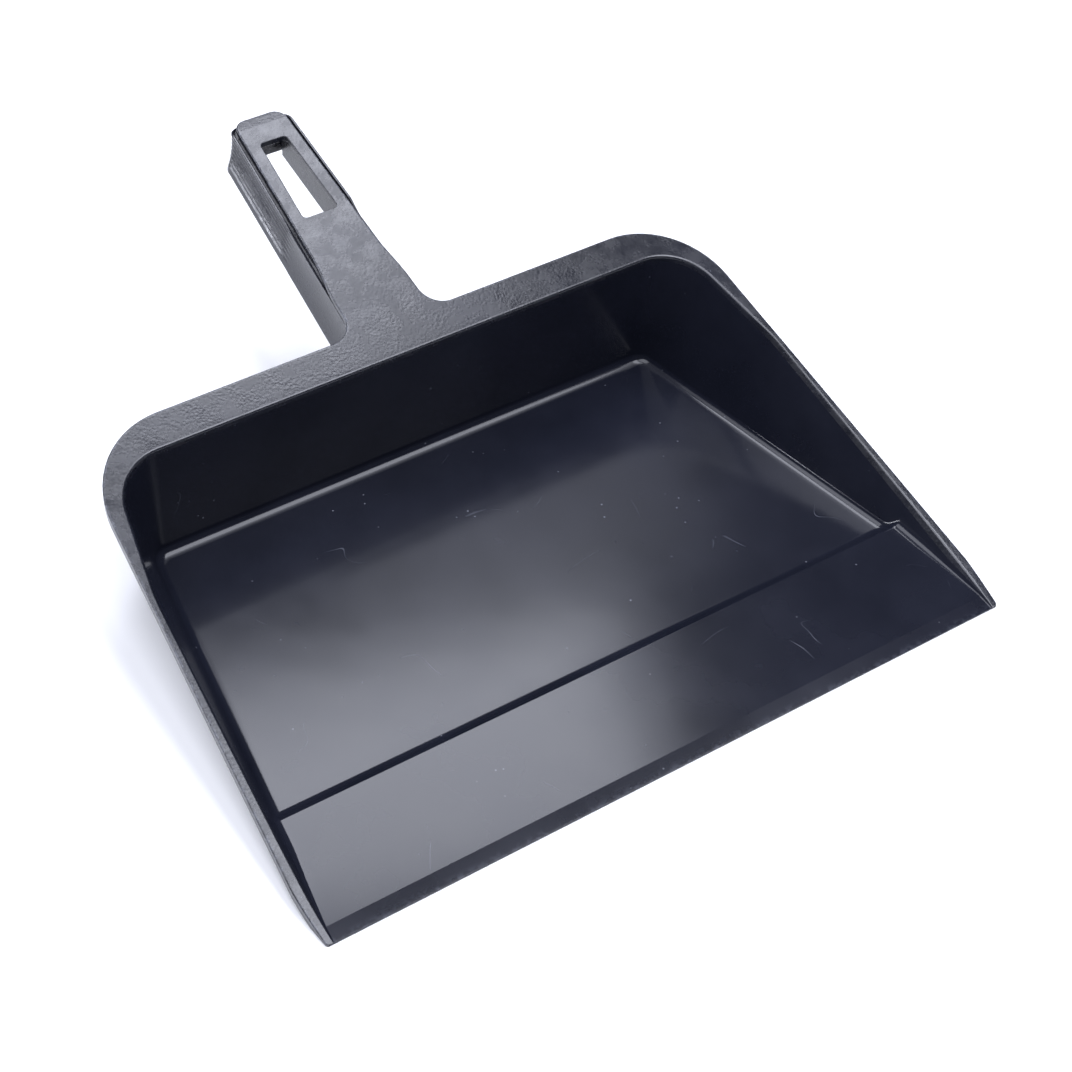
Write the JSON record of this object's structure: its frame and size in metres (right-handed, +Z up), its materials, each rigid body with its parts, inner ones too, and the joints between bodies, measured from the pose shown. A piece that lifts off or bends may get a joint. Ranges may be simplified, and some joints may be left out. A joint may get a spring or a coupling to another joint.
{
  "type": "dustpan",
  "caption": "Hand-held lobby dustpan: shallow tapered tray with a raised ridge and ramp, a flat rim that widens across the back, and a channel handle with a hanging slot.",
  "frame": {"origin": "on the ground under the middle of the overall length and width", "axes": "+Z up, +Y from the sweeping lip towards the handle, +X to the right seen from the lip"},
  "size_m": [0.3132, 0.32, 0.097],
  "materials": {
    "smooth_polypropylene": "smooth moulded, semi-gloss black",
    "grained_polypropylene": "finely grained, satin black"
  },
  "bodies": {
    "root": {"floor_panel": "smooth_polypropylene", "ridge_step": "smooth_polypropylene", "ramp_panel": "smooth_polypropylene", "sweeping_lip": "smooth_polypropylene", "back_wall": "smooth_polypropylene", "left_corner_wall": "smooth_polypropylene", "right_corner_wall": "smooth_polypropylene", "left_side_wall": "smooth_polypropylene", "right_side_wall": "smooth_polypropylene", "left_ramp_cheek": "smooth_polypropylene", "right_ramp_cheek": "smooth_polypropylene", "back_flange": "grained_polypropylene", "left_corner_flange": "grained_polypropylene", "right_corner_flange": "grained_polypropylene", "left_side_rim": "grained_polypropylene", "right_side_rim": "grained_polypropylene", "handle_plate": "grained_polypropylene", "left_handle_skirt": "grained_polypropylene", "right_handle_skirt": "grained_polypropylene", "handle_end": "grained_polypropylene", "left_grip_pad": "grained_polypropylene", "right_grip_pad": "grained_polypropylene"}
  },
  "joints": []
}
